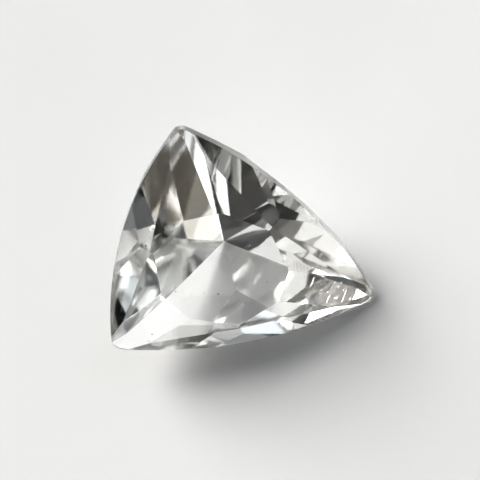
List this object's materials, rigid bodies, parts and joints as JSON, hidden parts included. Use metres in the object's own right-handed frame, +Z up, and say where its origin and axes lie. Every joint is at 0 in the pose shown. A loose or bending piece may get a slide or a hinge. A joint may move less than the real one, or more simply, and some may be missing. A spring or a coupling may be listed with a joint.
{
  "type": "faceted zircon",
  "caption": "Clear colourless zircon cut as a rounded triangle brilliant, tipped so that it lies on one of its six large pavilion facets.",
  "frame": {"origin": "middle of the bounding box, on the surface that the stone lies on", "axes": "+Z up from that surface, +X along the side of the girdle that lies lowest, +Y towards the raised corner opposite that side"},
  "size_m": [0.0102, 0.0082, 0.0063],
  "materials": {
    "clear_crystal": "polished facets, see-through, refractive index 1.95, fine scratches on the table"
  },
  "bodies": {
    "root": {"zircon": "clear_crystal"}
  },
  "joints": []
}
